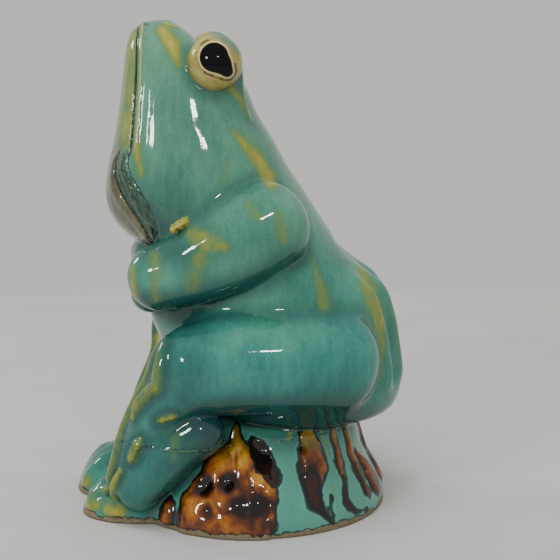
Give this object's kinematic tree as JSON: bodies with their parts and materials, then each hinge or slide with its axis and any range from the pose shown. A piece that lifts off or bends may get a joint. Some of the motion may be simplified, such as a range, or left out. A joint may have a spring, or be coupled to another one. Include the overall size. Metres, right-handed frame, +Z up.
{
  "type": "ceramic frog figurine",
  "caption": "Hollow glazed earthenware frog seated on a rock mound, arms folded and head tilted straight up, for display on a flat surface.",
  "frame": {"origin": "middle of the whole outline, on the surface that the foot ring stands on", "axes": "+Z up, the frog faces -Y, and its own left side is +X"},
  "size_m": [0.1254, 0.1514, 0.2195],
  "materials": {
    "teal_glaze": "high-gloss running teal glaze that breaks to olive yellow on ridges",
    "amber_glaze": "high-gloss amber and dark brown tortoiseshell glaze with teal runs",
    "cream_glaze": "high-gloss cream yellow glaze",
    "black_glaze": "high-gloss black glaze of the pupils",
    "bare_clay": "matt unglazed buff clay of the foot ring and the inside"
  },
  "bodies": {
    "root": {"rock_mound": "amber_glaze", "body_and_head": "teal_glaze", "left_eye": "cream_glaze", "left_upper_arm": "teal_glaze", "left_forearm": "teal_glaze", "left_thigh": "teal_glaze", "left_shin": "teal_glaze", "left_foot": "teal_glaze", "right_eye": "cream_glaze", "right_upper_arm": "teal_glaze", "right_forearm": "teal_glaze", "right_thigh": "teal_glaze", "right_shin": "teal_glaze", "right_foot": "teal_glaze", "right_fingertips": "cream_glaze"}
  },
  "joints": []
}
